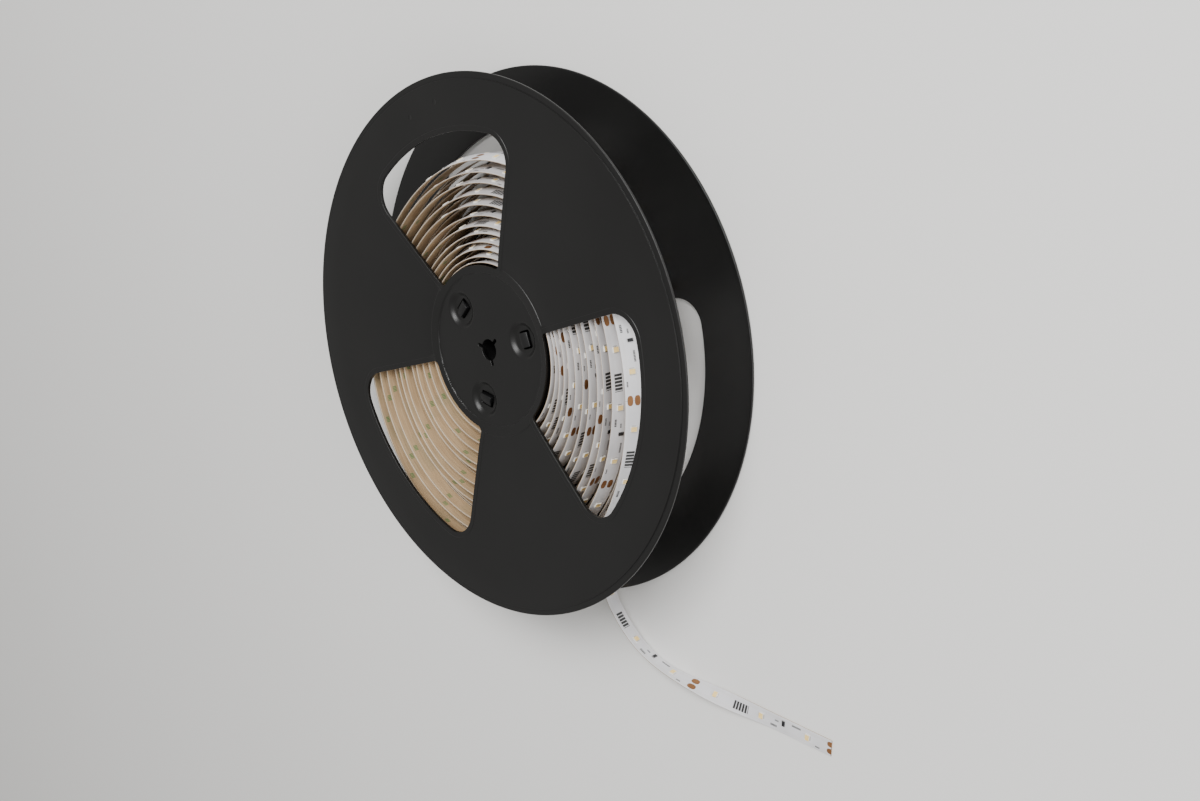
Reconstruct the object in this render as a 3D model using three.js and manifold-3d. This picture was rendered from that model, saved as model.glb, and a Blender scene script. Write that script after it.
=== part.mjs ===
// A plastic reel of flexible lighting tape, lying on its rear flange with its axis along +Z.
// Two identical flanges clip onto a hub drum, and the tape is wound on the drum in side-by-side lanes.
// The free end of the tape leaves the roll on edge, crosses the rim and lies down flat.
// Lengths are in millimetres. Angles are in degrees, measured from +X towards +Y.
import * as THREE from 'three';
import { mergeVertices } from 'three/addons/utils/BufferGeometryUtils.js';
import Module from 'manifold-3d';

// Reel
const reelWidth = 56;
const flangeRadius = 165;
const flangeWall = 2;
const rimBand = 4;
const rimStep = 0.5;
const rimChamfer = 0.6;
const flangeSegments = 52;

// The flange is flat towards its rim and bows in to the hub, where a ramp goes down to the hub plate
const flatRingRadius = 152;
const webBow = 4.3;
const hubRecess = 5.5;
const hubPlateRadius = 46.5;
const rampWidth = 7.5;
const rampEase = 1.15;
const arborRadius = 6.5;
const keySlotWidth = 2.2;
const keySlotReach = 10;

// Flange windows
const windowCount = 3;
const windowPhase = 110;
const windowHalfAngle = 31.5;
const windowInnerRadius = 51.6;
const windowOuterRadius = 131;
const windowOuterCorner = 16;
const windowInnerCorner = 3;
const windowLipWidth = 3.5;
const windowLipDepth = 0.6;

// Snap sockets in the hub plate, and the hooks of the drum that they take
const socketRadius = 32.5;
const socketTurn = 29;
const dishRadius = 11.5;
const dishFloorRadius = 8;
const dishDepth = 2.5;
const dishSegments = 16;
const hookWidth = 8;
const hookThickness = 2.6;
const hookOverhang = 1.8;
const hookHeadHeight = 2;
const hookNoseHeight = 0.6;
const hookSlotRoom = 2.4;

// Hub drum
const drumRadius = 50;
const drumWall = 2.2;
const drumSegments = 48;
const arborTubeRadius = 11;
const arborTubeWall = 2;
const arborTubeSegments = 24;
const ribThickness = 1.8;
const hookRoot = 6;

// Wound tape
const tapeWidth = 10;
const tapeThickness = 0.6;
const leastLaneGap = 0.5;
const rollEndClearance = 0.5;
const turnCount = 12;
const turnPitch = 6.26;
const turnThickness = 1.7;
const firstTurnClearance = 0.6;
const stepsPerTurn = 28;
const grooveDepth = 6;
const staggerFront = 3;
const staggerRear = 1.6;
const laneGrooveDepth = 2;
const rollSag = 15.8;
const rollSagAngle = -112;
const rollOval = 6.4;
const rollOvalAngle = 73;
const rollLobe = 1.2;
const rollLobeAngle = -38;
const rollEndAngle = -38;
const slackFreeTurns = 2;

// Components on the free end
const ledPitch = 100 / 3;
const ledLength = 2.8;
const ledWidth = 3.5;
const ledHeight = 0.8;
const ledChamfer = 0.2;
const ledCount = 8;
const resistorPitch = 100;
const resistorFromEnd = 34;
const resistorLength = 3.2;
const resistorWidth = 1.6;
const resistorHeight = 0.6;
const resistorCount = 3;

// The gap between pieces that touch
const seatGap = 0.3;

// The free end's centre line from the roll to the cut end: x, y and z of each point.
// It runs on edge between the flanges and over the rear rim, and the rest lies on the ground.
const tailRoute = [
  [99.8, -80.9, 11.4],
  [90.6, -91.6, 11.1],
  [81.0, -101.0, 10.6],
  [72.5, -109.6, 9.9],
  [66.3, -117.5, 9.2],
  [62.0, -127.0, 8.5],
  [59.6, -137.0, 8.0],
  [59.8, -147.5, 7.7],
  [62.8, -157.4, 7.4],
  [68.7, -166.3, 6.9],
  [76.2, -174.6, 6.3],
  [85.2, -181.8, 5.7],
  [95.8, -187.2, 5.4],
  [108.0, -190.6, 5.3],
  [120.0, -192.2, 5.1],
  [135.0, -193.4, 4.5],
  [150.0, -194.3, 3.5],
  [165.0, -195.1, 2.2],
  [180.0, -195.7, 1.1],
  [195.0, -196.1, 0.65],
  [212.0, -196.5, 0.62],
  [229.0, -196.8, 0.62],
];
const tailSteps = 56;
const twistStart = 0.52;
const twistEnd = 0.86;

// Sizes that follow from those above
const plateFace = -hubRecess;
const dishFloor = plateFace - dishDepth;
const dishBack = dishFloor - flangeWall;
const plateBack = plateFace - flangeWall;
const turnAngleStep = 360 / windowCount;
const keySlotPhase = windowPhase - turnAngleStep / 2;
const socketPhase = keySlotPhase - socketTurn;
const rampRadius = hubPlateRadius + rampWidth;
const rollRear = flangeWall + webBow + rollEndClearance;
const rollFront = reelWidth - rollRear;
const laneRoom = rollFront - rollRear;
const laneCount = Math.floor((laneRoom + leastLaneGap) / (tapeWidth + leastLaneGap));
const laneGap = (laneRoom - laneCount * tapeWidth) / (laneCount - 1);
const lanePitch = tapeWidth + laneGap;
const firstTurnRadius = drumRadius + firstTurnClearance;
const windingSteps = turnCount * stepsPerTurn;

const wasm = await Module();
wasm.setup();

const radians = THREE.MathUtils.degToRad;

function polar(radius, angle) {
  return [radius * Math.cos(radians(angle)), radius * Math.sin(radians(angle))];
}

// Closed geometry to solid and back

function toSolid(geometry) {
  const bare = geometry.clone();
  bare.deleteAttribute('normal');
  bare.deleteAttribute('uv');
  const merged = mergeVertices(bare, 1e-4);
  return new wasm.Manifold(new wasm.Mesh({
    numProp: 3,
    vertProperties: Float32Array.from(merged.attributes.position.array),
    triVerts: Uint32Array.from(merged.index.array),
  }));
}

function toGeometry(solid) {
  const mesh = solid.getMesh();
  const geometry = new THREE.BufferGeometry();
  geometry.setAttribute('position', new THREE.BufferAttribute(mesh.vertProperties, 3));
  geometry.setIndex(new THREE.BufferAttribute(mesh.triVerts, 1));
  geometry.computeVertexNormals();
  return geometry;
}

// Revolves a closed loop of [radius, height] points about Z.
function revolve(loop, segments) {
  const profile = [...loop, loop[0]].map(([radius, height]) => new THREE.Vector2(radius, height));
  const geometry = new THREE.LatheGeometry(profile, segments);
  geometry.rotateX(Math.PI / 2);
  return geometry;
}

// Raises an outline in the XY plane from one height to another.
function prism(outline, low, high) {
  const shape = new THREE.Shape(outline.map(([x, y]) => new THREE.Vector2(x, y)));
  const geometry = new THREE.ExtrudeGeometry(shape, { depth: high - low, bevelEnabled: false, steps: 1 });
  geometry.translate(0, 0, low);
  return geometry;
}

// A bar along the direction of an angle, from one radius to another, centred across.
function radialBar(angle, from, to, across, low, high) {
  const half = across / 2;
  const geometry = prism([[from, -half], [to, -half], [to, half], [from, half]], low, high);
  geometry.rotateZ(radians(angle));
  return geometry;
}

function arc(centre, radius, from, to, pieces) {
  const points = [];
  for (let i = 0; i <= pieces; i += 1) {
    const [x, y] = polar(radius, from + (to - from) * i / pieces);
    points.push([centre[0] + x, centre[1] + y]);
  }
  return points;
}

// Flanges

// A window between two arcs about the reel's axis and two radial sides, with rounded corners.
// grow moves every edge outwards by that much.
function windowOutline(phase, grow) {
  const inner = windowInnerRadius - grow;
  const outer = windowOuterRadius + grow;
  const innerCorner = windowInnerCorner + grow;
  const outerCorner = windowOuterCorner + grow;
  const degrees = THREE.MathUtils.radToDeg;
  // A side that moves outwards stays parallel to its radius, so its corners turn by a little more.
  const innerTurn = degrees(Math.asin((innerCorner - grow) / (inner + innerCorner)));
  const outerTurn = degrees(Math.asin((outerCorner - grow) / (outer - outerCorner)));
  const innerEnd = windowHalfAngle - innerTurn;
  const outerEnd = windowHalfAngle - outerTurn;
  const sideNormal = windowHalfAngle + 90;
  return [
    ...arc([0, 0], outer, phase - outerEnd, phase + outerEnd, 10),
    ...arc(polar(outer - outerCorner, phase + outerEnd), outerCorner,
      phase + outerEnd, phase + sideNormal, 5).slice(1),
    ...arc(polar(inner + innerCorner, phase + innerEnd), innerCorner,
      phase + sideNormal, phase + innerEnd + 180, 2),
    ...arc([0, 0], inner, phase + innerEnd, phase - innerEnd, 6).slice(1),
    ...arc(polar(inner + innerCorner, phase - innerEnd), innerCorner,
      phase - innerEnd - 180, phase - sideNormal, 2).slice(1),
    ...arc(polar(outer - outerCorner, phase - outerEnd), outerCorner,
      phase - sideNormal, phase - outerEnd, 5).slice(0, -1),
  ];
}

// Height of the outer face at a radius: the flat ring, the bowed web, the ramp and the hub plate.
function faceHeight(radius) {
  const bow = THREE.MathUtils.clamp((flatRingRadius - radius) / (flatRingRadius - rampRadius), 0, 1);
  const climb = THREE.MathUtils.clamp((radius - hubPlateRadius) / rampWidth, 0, 1);
  const drop = (hubRecess - webBow) * (1 - Math.sin(climb * Math.PI / 2) ** rampEase);
  return -webBow * bow - drop;
}

// The moulding in its own frame: the outer face is the plane z = 0, and the drum is below it.
function flangeGeometry() {
  const bends = [...[0, 0.5, 1].map((share) => hubPlateRadius + share * rampWidth), flatRingRadius];
  const face = bends.map((radius) => [radius, faceHeight(radius)]);
  const lowered = (depth) => face.map(([radius, height]) => [radius, height - depth]);
  const bandStart = flangeRadius - rimBand;
  const body = toSolid(revolve([
    [arborRadius, plateBack],
    ...lowered(flangeWall),
    [flangeRadius - rimChamfer, -flangeWall],
    [flangeRadius, -flangeWall + rimChamfer],
    [flangeRadius, -rimStep - rimChamfer / 2],
    [flangeRadius - rimChamfer, -rimStep],
    [bandStart + rimStep, -rimStep],
    [bandStart, 0],
    ...lowered(0).reverse(),
    [arborRadius, plateFace],
  ], flangeSegments));
  // Everything below the floor of the windows' lips
  const underLips = toSolid(revolve([
    [0, dishBack],
    [flangeRadius, dishBack],
    [flangeRadius, -windowLipDepth],
    ...lowered(windowLipDepth).reverse(),
    [0, plateFace - windowLipDepth],
  ], flangeSegments));

  let flange = body;
  for (let i = 0; i < windowCount; i += 1) {
    const turn = i * turnAngleStep;
    const phase = windowPhase + turn;
    flange = flange.subtract(toSolid(prism(windowOutline(phase, 0), dishBack, flangeWall)));
    const lip = toSolid(prism(windowOutline(phase, windowLipWidth), plateBack, flangeWall));
    flange = flange.subtract(lip.subtract(underLips));

    const [x, y] = polar(socketRadius, socketPhase + turn);
    const cup = revolve([
      [0, dishBack],
      [dishFloorRadius + flangeWall / 2, dishBack],
      [dishRadius + flangeWall / 2, plateBack],
      [dishRadius + flangeWall / 2, plateFace - flangeWall / 2],
      [0, plateFace - flangeWall / 2],
    ], dishSegments);
    const dish = revolve([
      [0, dishFloor],
      [dishFloorRadius, dishFloor],
      [dishRadius, plateFace],
      [dishRadius, flangeWall],
      [0, flangeWall],
    ], dishSegments);
    cup.translate(x, y, 0);
    dish.translate(x, y, 0);
    flange = flange.add(toSolid(cup)).subtract(toSolid(dish));

    const slot = radialBar(
      socketPhase + turn,
      socketRadius - hookThickness / 2 - hookSlotRoom,
      socketRadius + hookThickness / 2 + seatGap,
      hookWidth + 2 * seatGap,
      dishBack - flangeWall,
      flangeWall,
    );
    const key = radialBar(keySlotPhase + turn, 0, keySlotReach, keySlotWidth, dishBack, flangeWall);
    flange = flange.subtract(toSolid(slot)).subtract(toSolid(key));
  }
  return toGeometry(flange);
}

// Hub drum

// A hook seen from its side, from its root up to its sloping head, in radius and height.
function hookGeometry(angle) {
  const inside = socketRadius - hookThickness / 2;
  const outside = socketRadius + hookThickness / 2;
  const under = dishFloor + seatGap;
  const profile = [
    [inside, dishBack - hookRoot],
    [outside, dishBack - hookRoot],
    [outside, under],
    [outside + hookOverhang, under],
    [outside + hookOverhang, under + hookNoseHeight],
    [inside + hookThickness / 2, under + hookHeadHeight],
    [inside, under + hookHeadHeight],
  ];
  const geometry = prism(profile, -hookWidth / 2, hookWidth / 2);
  geometry.rotateX(Math.PI / 2);
  geometry.rotateZ(radians(angle));
  return geometry;
}

// Heights here are in the reel's frame, and the front end's hooks use the front flange's own frame.
function hubGeometry() {
  const outerBack = faceHeight(drumRadius) - flangeWall - seatGap;
  const innerBack = faceHeight(drumRadius - drumWall) - flangeWall - seatGap;
  const drum = revolve([
    [drumRadius - drumWall, -innerBack],
    [drumRadius, -outerBack],
    [drumRadius, reelWidth + outerBack],
    [drumRadius - drumWall, reelWidth + innerBack],
  ], drumSegments);
  const tubeEnd = -plateBack + seatGap;
  const tube = revolve([
    [arborTubeRadius, tubeEnd],
    [arborTubeRadius + arborTubeWall, tubeEnd],
    [arborTubeRadius + arborTubeWall, reelWidth - tubeEnd],
    [arborTubeRadius, reelWidth - tubeEnd],
  ], arborTubeSegments);
  let hub = toSolid(drum).add(toSolid(tube));

  const ribEnd = -dishBack + seatGap;
  for (let i = 0; i < windowCount; i += 1) {
    const angle = socketPhase + i * turnAngleStep;
    const rib = radialBar(
      angle,
      arborTubeRadius + arborTubeWall / 2,
      drumRadius - drumWall / 2,
      ribThickness,
      ribEnd,
      reelWidth - ribEnd,
    );
    const frontHook = hookGeometry(angle);
    frontHook.translate(0, 0, reelWidth);
    const rearHook = hookGeometry(angle);
    rearHook.applyMatrix4(turnedOver());
    const rearRib = rib.clone();
    rearRib.translate(0, 0, -reelWidth);
    rearRib.applyMatrix4(turnedOver());
    for (const piece of [rib, rearRib, frontHook, rearHook]) {
      hub = hub.add(toSolid(piece));
    }
  }
  return toGeometry(hub);
}

// Half a turn about the line through the first window, which lays a flange's outer face on the ground.
function turnedOver() {
  const [x, y] = polar(1, windowPhase);
  return new THREE.Matrix4().makeRotationAxis(new THREE.Vector3(x, y, 0), Math.PI);
}

// Wound tape

// The tape is wound outwards clockwise as seen from the front. A step counts along it.
function windingAngle(step) {
  return rollEndAngle + 360 * (windingSteps - step) / stepsPerTurn;
}

// How far the slack of the last turn moves it outwards at an angle: it hangs towards one side, and
// its outline is a little oval, with a third, lesser wave.
function slackOutwards(angle) {
  return rollSag * Math.cos(radians(angle - rollSagAngle))
    + rollOval * Math.cos(radians(2 * (angle - rollOvalAngle)))
    + rollLobe * Math.cos(radians(3 * (angle - rollLobeAngle)));
}

// Radius of the inner side of a turn. The first turns are tight, and the slack grows outwards.
function windingRadius(step) {
  const turns = step / stepsPerTurn;
  const slackShare = turns / turnCount * Math.min(1, turns / slackFreeTurns);
  return firstTurnRadius + turnPitch * turns + slackShare * slackOutwards(windingAngle(step));
}

// How far a turn's edge lies back from the roll's face, from 0 to 1.
function stagger(step) {
  const turns = step / stepsPerTurn;
  return 0.5 + 0.3 * Math.sin(turns * 7.1) + 0.2 * Math.sin(turns * 17.3 + 1);
}

// One solid with a spiral ridge on both faces. Each step has a base and an edge on both sides of the
// ridge, at the front and at the rear, and the outer wall has a groove between every two lanes.
function woundTapeGeometry() {
  const positions = [];
  const triangles = [];

  function vertex(radius, step, height) {
    const [x, y] = polar(radius, windingAngle(step));
    positions.push(x, y, height);
    return positions.length / 3 - 1;
  }

  // A flat face, split from its first corner.
  function face(...corners) {
    for (let i = 2; i < corners.length; i += 1) {
      triangles.push(corners[0], corners[i - 1], corners[i]);
    }
  }

  const columns = [];
  for (let step = 0; step <= windingSteps; step += 1) {
    const inner = windingRadius(step);
    const outer = inner + turnThickness;
    const rampClear = flangeWall - faceHeight(inner) + seatGap;
    const frontEdge = Math.min(rollFront - staggerFront * stagger(step), reelWidth - rampClear);
    const rearEdge = Math.max(rollRear + staggerRear * stagger(step + 9), rampClear);
    const sides = [
      { edge: frontEdge, base: rollFront - staggerFront - grooveDepth },
      { edge: rearEdge, base: rollRear + staggerRear + grooveDepth },
    ].map(({ edge, base }) => ({
      innerBase: vertex(inner, step, base),
      innerEdge: vertex(inner, step, edge),
      outerEdge: vertex(outer, step, edge),
      outerBase: vertex(outer, step, base),
    }));
    columns.push({ front: sides[0], rear: sides[1] });
  }

  // The outer wall of the last turn: a column of corners from front to rear at each step.
  const wallStart = windingSteps - stepsPerTurn;
  const walls = [];
  for (let step = wallStart; step <= windingSteps; step += 1) {
    const { front, rear } = columns[step];
    const outer = windingRadius(step) + turnThickness;
    const wall = [front.outerBase];
    for (let lane = laneCount - 1; lane > 0; lane -= 1) {
      const top = rollRear + lane * lanePitch;
      const bottom = top - laneGap;
      wall.push(
        vertex(outer, step, top),
        vertex(outer - laneGrooveDepth, step, top),
        vertex(outer - laneGrooveDepth, step, bottom),
        vertex(outer, step, bottom),
      );
    }
    wall.push(rear.outerBase);
    walls.push(wall);
  }

  const ridge = ['innerBase', 'innerEdge', 'outerEdge', 'outerBase'];
  for (let step = 0; step < windingSteps; step += 1) {
    const a = columns[step];
    const b = columns[step + 1];
    for (let corner = 1; corner < ridge.length; corner += 1) {
      const from = ridge[corner - 1];
      const to = ridge[corner];
      face(a.front[from], b.front[from], b.front[to], a.front[to]);
      face(a.rear[from], a.rear[to], b.rear[to], b.rear[from]);
    }
    if (step < wallStart) {
      const c = columns[step + stepsPerTurn];
      const d = columns[step + stepsPerTurn + 1];
      face(a.front.outerBase, b.front.outerBase, d.front.innerBase, c.front.innerBase);
      face(a.rear.outerBase, c.rear.innerBase, d.rear.innerBase, b.rear.outerBase);
    } else {
      const near = walls[step - wallStart];
      const far = walls[step - wallStart + 1];
      for (let row = 1; row < near.length; row += 1) {
        face(near[row - 1], far[row - 1], far[row], near[row]);
      }
    }
    if (step < stepsPerTurn) {
      face(a.front.innerBase, a.rear.innerBase, b.rear.innerBase, b.front.innerBase);
    }
  }

  // The first turn's blunt start
  const start = columns[0];
  const second = columns[stepsPerTurn];
  face(start.front.innerBase, start.front.innerEdge, start.front.outerEdge, start.front.outerBase);
  face(start.rear.innerBase, start.rear.outerBase, start.rear.outerEdge, start.rear.innerEdge);
  face(start.front.innerBase, start.front.outerBase, start.rear.outerBase, start.rear.innerBase);
  face(start.front.outerBase, second.front.innerBase, second.rear.innerBase, start.rear.outerBase);

  // The last turn's cut end, which covers the wall that the turn before it leaves open
  const last = columns[windingSteps];
  const inner = walls[0];
  const outer = walls[walls.length - 1];
  const bottom = inner.length - 1;
  face(last.front.outerBase, last.front.outerEdge, last.front.innerEdge, last.front.innerBase);
  face(last.rear.outerBase, last.rear.innerBase, last.rear.innerEdge, last.rear.outerEdge);
  face(inner[1], outer[1], outer[0], last.front.innerBase, inner[0]);
  for (let row = 2; row < bottom; row += 1) {
    face(inner[row - 1], inner[row], outer[row], outer[row - 1]);
  }
  face(outer[bottom - 1], inner[bottom - 1], inner[bottom], last.rear.innerBase, outer[bottom]);

  const geometry = new THREE.BufferGeometry();
  geometry.setAttribute('position', new THREE.Float32BufferAttribute(positions, 3));
  geometry.setIndex(triangles);
  geometry.computeVertexNormals();
  return geometry;
}

// Free end of the tape

// Follows the route, with the tape's lit side turned from level to upwards along the way.
class TapePath extends THREE.CatmullRomCurve3 {
  // The direction of travel, of the lit side, and across the tape, at a share of the length.
  directionsAt(share) {
    const travel = this.getTangentAt(share);
    const level = new THREE.Vector3(-travel.y, travel.x, 0).normalize();
    const upwards = new THREE.Vector3().crossVectors(travel, level);
    const lying = THREE.MathUtils.smoothstep(share, twistStart, twistEnd) * Math.PI / 2;
    const lit = level.multiplyScalar(Math.cos(lying)).addScaledVector(upwards, Math.sin(lying)).normalize();
    const across = new THREE.Vector3().crossVectors(travel, lit);
    return { travel, lit, across };
  }

  computeFrenetFrames(segments) {
    const frames = { tangents: [], normals: [], binormals: [] };
    for (let i = 0; i <= segments; i += 1) {
      const { travel, lit, across } = this.directionsAt(i / segments);
      frames.tangents.push(travel);
      frames.normals.push(lit);
      frames.binormals.push(across);
    }
    return frames;
  }
}

const tailPath = new TapePath(tailRoute.map((point) => new THREE.Vector3(...point)));

function looseTapeGeometry() {
  const side = tapeThickness / 2;
  const edge = tapeWidth / 2;
  const chamfer = tapeThickness / 4;
  const section = [
    [side, -edge + chamfer], [side, edge - chamfer], [side - chamfer, edge], [-side + chamfer, edge],
    [-side, edge - chamfer], [-side, -edge + chamfer], [-side + chamfer, -edge], [side - chamfer, -edge],
  ];
  const shape = new THREE.Shape(section.map(([x, y]) => new THREE.Vector2(x, y)));
  return new THREE.ExtrudeGeometry(shape, { steps: tailSteps, bevelEnabled: false, extrudePath: tailPath });
}

// A small block with chamfered upper edges, long across the tape, standing on the plane z = 0.
function componentGeometry(along, across, height, chamfer) {
  const halfAlong = along / 2 - chamfer;
  const halfAcross = across / 2 - chamfer;
  const shape = new THREE.Shape([
    new THREE.Vector2(-halfAlong, -halfAcross),
    new THREE.Vector2(halfAlong, -halfAcross),
    new THREE.Vector2(halfAlong, halfAcross),
    new THREE.Vector2(-halfAlong, halfAcross),
  ]);
  const geometry = new THREE.ExtrudeGeometry(shape, {
    depth: height - 2 * chamfer,
    bevelThickness: chamfer,
    bevelSize: chamfer,
    bevelSegments: 1,
  });
  geometry.translate(0, 0, chamfer);
  return geometry;
}

// Stands a component on the tape's lit side at a distance from the cut end.
function seatOnTape(mesh, fromEnd) {
  const share = 1 - fromEnd / tailPath.getLength();
  const { travel, lit, across } = tailPath.directionsAt(share);
  mesh.quaternion.setFromRotationMatrix(new THREE.Matrix4().makeBasis(travel, across.negate(), lit));
  mesh.position.copy(tailPath.getPointAt(share)).addScaledVector(lit, tapeThickness / 2 + seatGap);
  return mesh;
}

// Materials

const materials = {
  reelPlastic: () => new THREE.MeshStandardMaterial({ color: 0x2a2b2c, roughness: 0.55, metalness: 0 }),
  hubPlastic: () => new THREE.MeshStandardMaterial({ color: 0x1b1b1c, roughness: 0.5, metalness: 0 }),
  tapeWhite: () => new THREE.MeshStandardMaterial({ color: 0xded9d2, roughness: 0.5, metalness: 0 }),
  ledPhosphor: () => new THREE.MeshStandardMaterial({ color: 0xf0d28a, roughness: 0.35, metalness: 0 }),
  resistorBlack: () => new THREE.MeshStandardMaterial({ color: 0x26262a, roughness: 0.45, metalness: 0 }),
};

function piece(name, geometry, material) {
  const mesh = new THREE.Mesh(geometry, material());
  mesh.name = name;
  return mesh;
}

// The whole reel

const reel = new THREE.Group();

const frontFlange = piece('front_flange', flangeGeometry(), materials.reelPlastic);
frontFlange.position.z = reelWidth;
const rearFlange = piece('rear_flange', flangeGeometry(), materials.reelPlastic);
rearFlange.applyMatrix4(turnedOver());
reel.add(frontFlange, rearFlange);
reel.add(piece('hub_core', hubGeometry(), materials.hubPlastic));
reel.add(piece('wound_strip', woundTapeGeometry(), materials.tapeWhite));
reel.add(piece('loose_strip', looseTapeGeometry(), materials.tapeWhite));

for (let i = 0; i < ledCount; i += 1) {
  const geometry = componentGeometry(ledLength, ledWidth, ledHeight, ledChamfer);
  const led = piece(`tail_led_${i + 1}`, geometry, materials.ledPhosphor);
  reel.add(seatOnTape(led, (i + 0.5) * ledPitch));
}
for (let i = 0; i < resistorCount; i += 1) {
  const geometry = componentGeometry(resistorWidth, resistorLength, resistorHeight, ledChamfer / 2);
  const resistor = piece(`tail_resistor_${i + 1}`, geometry, materials.resistorBlack);
  reel.add(seatOnTape(resistor, resistorFromEnd + i * resistorPitch));
}

export default reel;
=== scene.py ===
"""A black plastic reel that holds loose turns of white lighting tape, lying on its rear flange.

The reel's axis is +Z and the ground is the plane z = 0. Sizes are in metres, and MM turns
millimetres into metres. Angles about the axis are in degrees, measured from +X towards +Y.
"""

import math

import bmesh
import bpy
import numpy as np
from mathutils import Matrix, Vector
from mathutils.geometry import delaunay_2d_cdt


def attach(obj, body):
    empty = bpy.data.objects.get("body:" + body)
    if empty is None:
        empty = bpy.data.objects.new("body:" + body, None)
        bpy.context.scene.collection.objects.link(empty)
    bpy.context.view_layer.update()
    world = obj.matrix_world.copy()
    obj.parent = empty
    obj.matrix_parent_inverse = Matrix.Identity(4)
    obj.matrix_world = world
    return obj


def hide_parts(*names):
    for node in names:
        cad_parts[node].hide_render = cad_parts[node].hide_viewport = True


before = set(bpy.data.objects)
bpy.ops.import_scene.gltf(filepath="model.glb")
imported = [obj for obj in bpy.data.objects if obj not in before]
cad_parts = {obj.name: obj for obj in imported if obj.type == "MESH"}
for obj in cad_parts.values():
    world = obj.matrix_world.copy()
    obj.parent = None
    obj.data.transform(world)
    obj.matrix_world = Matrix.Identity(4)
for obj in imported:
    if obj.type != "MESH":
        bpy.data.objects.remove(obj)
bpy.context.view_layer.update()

MM = 0.001
BODY = "root"

# Reel, as in the frame. Its windows, sockets and key slots are WINDOW_COUNT each, TURN_STEP apart.
REEL_WIDTH = 56 * MM
FLANGE_RADIUS = 165 * MM
FLANGE_WALL = 2 * MM
WINDOW_COUNT = 3
WINDOW_PHASE = 110.0
TURN_STEP = 360.0 / WINDOW_COUNT
KEY_PHASE = WINDOW_PHASE - TURN_STEP / 2
SOCKET_PHASE = KEY_PHASE - 29

# Tape
TAPE_WIDTH = 10 * MM
TAPE_THICKNESS = 0.6 * MM
SEGMENT = 100 * MM
LED_PITCH = SEGMENT / 3
RESISTOR_FROM_END = 34 * MM
RESISTOR_ACROSS = 1.5 * MM
# No component sits nearer than this to an end of its tape
END_CLEAR = 2 * MM
LED_SIZE = (3.1 * MM, 3.8 * MM, 0.8 * MM)
RESISTOR_SIZE = (2.0 * MM, 3.6 * MM, 0.6 * MM)


# Small helpers


def new_mesh(name, vertices=(), edges=(), faces=()):
    mesh = bpy.data.meshes.new(name)
    mesh.from_pydata(vertices, edges, faces)
    return mesh


def reshaped(mesh, work_on):
    """Lets a function work on a mesh as a bmesh."""
    work = bmesh.new()
    work.from_mesh(mesh)
    work_on(work)
    work.to_mesh(mesh)
    work.free()
    return mesh


def polar(radius, degrees):
    """A point of the plane, or an array of them, from radius and angle."""
    angle = np.radians(degrees)
    return np.stack([radius * np.cos(angle), radius * np.sin(angle)], axis=-1)


def circle(radius, count, centre=(0.0, 0.0)):
    """Evenly spaced points of a full circle."""
    return centre + polar(radius, np.linspace(0, 360, count, endpoint=False))


def smooth(low, high, value):
    """Eases from 0 to 1 while value goes from low to high."""
    t = np.clip((value - low) / (high - low), 0, 1)
    return t * t * (3 - 2 * t)


def unit(vectors):
    return vectors / np.linalg.norm(vectors, axis=-1, keepdims=True)


def new_object(name, data):
    thing = bpy.data.objects.new(name, data)
    bpy.context.scene.collection.objects.link(thing)
    return thing


def baked(name, holder, *used):
    """The mesh that a holder's modifiers make, as an object. The holder and what it used are removed."""
    bpy.context.view_layer.update()
    graph = bpy.context.evaluated_depsgraph_get()
    mesh = bpy.data.meshes.new_from_object(holder.evaluated_get(graph), depsgraph=graph)
    for thing in (holder, *used):
        bpy.data.objects.remove(thing)
    mesh.name = name
    return new_object(name, mesh)


def shade(piece, sharp):
    """Smooth shading that keeps edges above the angle crisp."""
    piece.data.shade_smooth()
    piece.data.set_sharp_from_angle(angle=math.radians(sharp))
    return piece


def finish_piece(piece, material, slot, *nodes):
    """Gives a piece its finish, puts it under the body and hides the CAD nodes that it stands for. The slot is not
    used.
    """
    if material is not None:
        piece.data.materials.clear()
        piece.data.materials.append(material)
    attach(piece, BODY)
    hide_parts(*nodes)
    return piece


# Materials


class Nodes:
    """A node tree that is built by short calls. A value may be a number, a colour or a socket."""

    def __init__(self, tree):
        self.tree = tree

    def node(self, kind, values=(), **settings):
        made = self.tree.nodes.new(kind)
        for key, value in settings.items():
            setattr(made, key, value)
        for key, value in dict(values).items():
            self.feed(made.inputs[key], value)
        return made

    def feed(self, socket, value):
        if isinstance(value, bpy.types.NodeSocket):
            self.tree.links.new(value, socket)
        else:
            socket.default_value = value


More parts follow.
